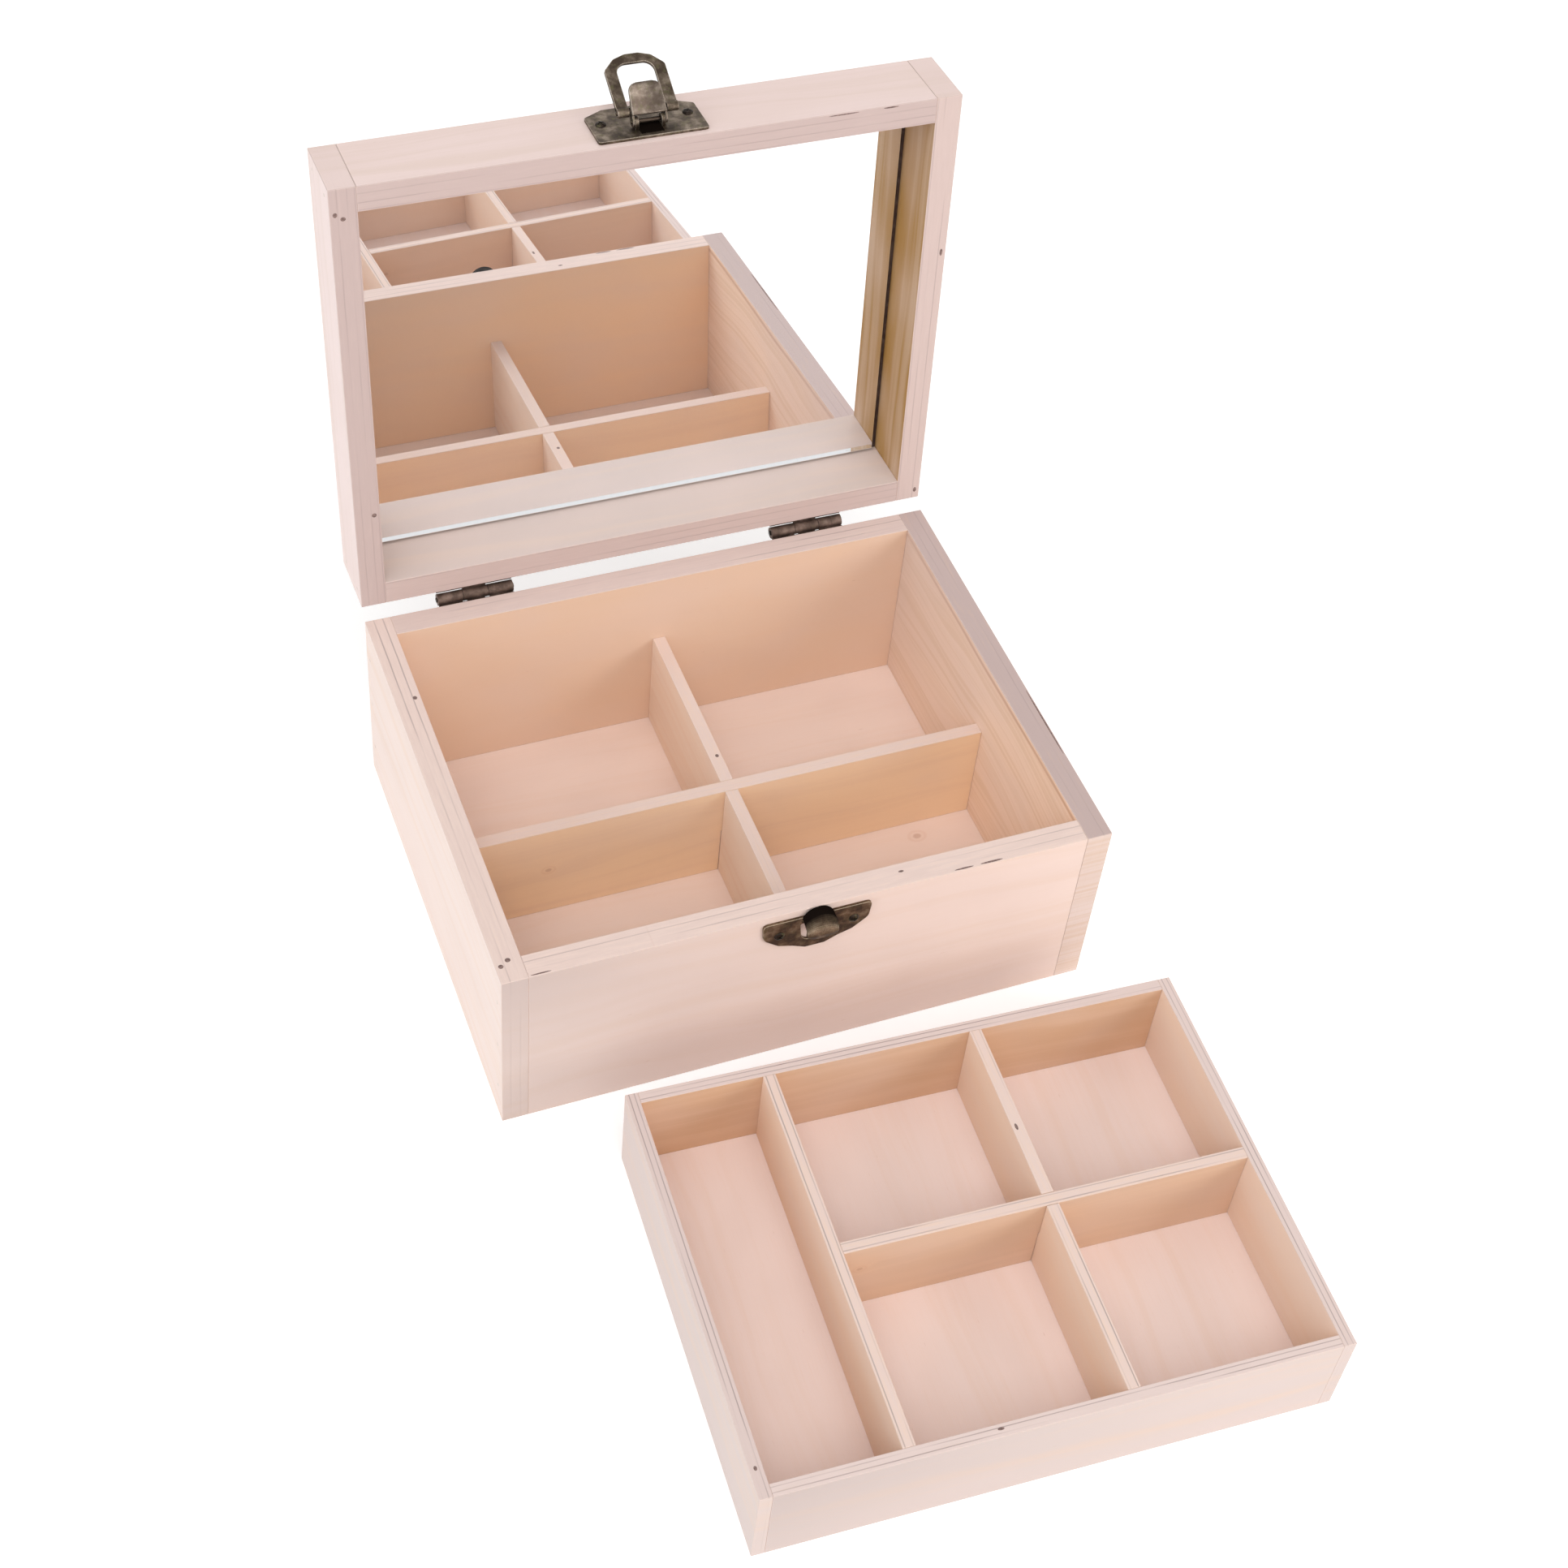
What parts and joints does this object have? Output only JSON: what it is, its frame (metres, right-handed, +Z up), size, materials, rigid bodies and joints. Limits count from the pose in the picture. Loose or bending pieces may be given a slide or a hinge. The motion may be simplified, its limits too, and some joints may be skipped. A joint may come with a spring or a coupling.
{
  "type": "vanity box with mirror",
  "caption": "Pale wooden vanity box with a mirror in its hinged lid, compartments inside, a toggle latch and a lift-out divided tray standing in front.",
  "frame": {"origin": "centre of the box's footprint, on the surface that the box and its tray stand on", "axes": "+X to the right seen from the front, +Y to the back where the hinges are, +Z up"},
  "size_m": [0.2109, 0.3679, 0.2442],
  "materials": {
    "wall_wood": "unfinished pale plywood",
    "inside_wood": "unfinished plywood, warmer",
    "panel_wood": "thin unfinished plywood",
    "aged_bronze": "aged bronze, worn",
    "dark_bronze": "dark aged bronze",
    "mirror_glass": "polished",
    "tape": "matt",
    "pin_steel": "drawn wire"
  },
  "bodies": {
    "box": {"base_front_wall": "wall_wood", "base_back_wall": "wall_wood", "base_left_wall": "wall_wood", "base_right_wall": "wall_wood", "base_bottom_panel": "panel_wood", "base_long_divider": "inside_wood", "base_cross_divider": "inside_wood", "base_corner_pins": "pin_steel", "left_hinge_base_leaf": "aged_bronze", "right_hinge_base_leaf": "aged_bronze", "left_hinge_pin": "dark_bronze", "right_hinge_pin": "dark_bronze", "hinge_base_screws": "dark_bronze", "catch_plate": "aged_bronze", "catch_plate_screws": "dark_bronze"},
    "lid": {"lid_front_wall": "wall_wood", "lid_back_wall": "wall_wood", "lid_left_wall": "wall_wood", "lid_right_wall": "wall_wood", "lid_top_panel": "panel_wood", "mirror_glass": "mirror_glass", "mirror_tape": "tape", "lid_corner_pins": "pin_steel", "left_hinge_lid_leaf": "aged_bronze", "right_hinge_lid_leaf": "aged_bronze", "hinge_lid_screws": "dark_bronze", "latch_plate": "aged_bronze", "latch_plate_screws": "dark_bronze", "lever_pin": "dark_bronze"},
    "lever": {"latch_lever": "aged_bronze", "ring_pin": "dark_bronze"},
    "ring": {"latch_ring": "aged_bronze"},
    "tray": {"tray_front_wall": "wall_wood", "tray_back_wall": "wall_wood", "tray_left_wall": "wall_wood", "tray_right_wall": "wall_wood", "tray_floor": "panel_wood", "tray_left_divider": "inside_wood", "tray_right_divider": "inside_wood", "tray_cross_divider": "inside_wood", "tray_corner_pins": "pin_steel"}
  },
  "joints": [
    {"name": "lid_hinge", "type": "hinge", "parent": "box", "child": "lid", "pos_m": [0, 0.08165, 0.0706], "axis": [1, 0, 0], "range_deg": [0, 94]},
    {"name": "latch_lever_turn", "type": "hinge", "parent": "lid", "child": "lever", "pos_m": [0, 0.10061, 0.23282], "axis": [-1, 0, 0], "range_deg": [0, 59]},
    {"name": "latch_ring_swing", "type": "hinge", "parent": "lever", "child": "ring", "pos_m": [0, 0.10254, 0.23512], "axis": [1, 0, 0], "range_deg": [0, 209]},
    {"name": "tray_lift", "type": "slide", "parent": "box", "child": "tray", "axis": [0, 0, 1], "range_m": [0, 0.08]}
  ],
  "couplings": [
    {"joint": "latch_ring_swing", "follows": "latch_lever_turn", "ratio": 3.5423}
  ]
}
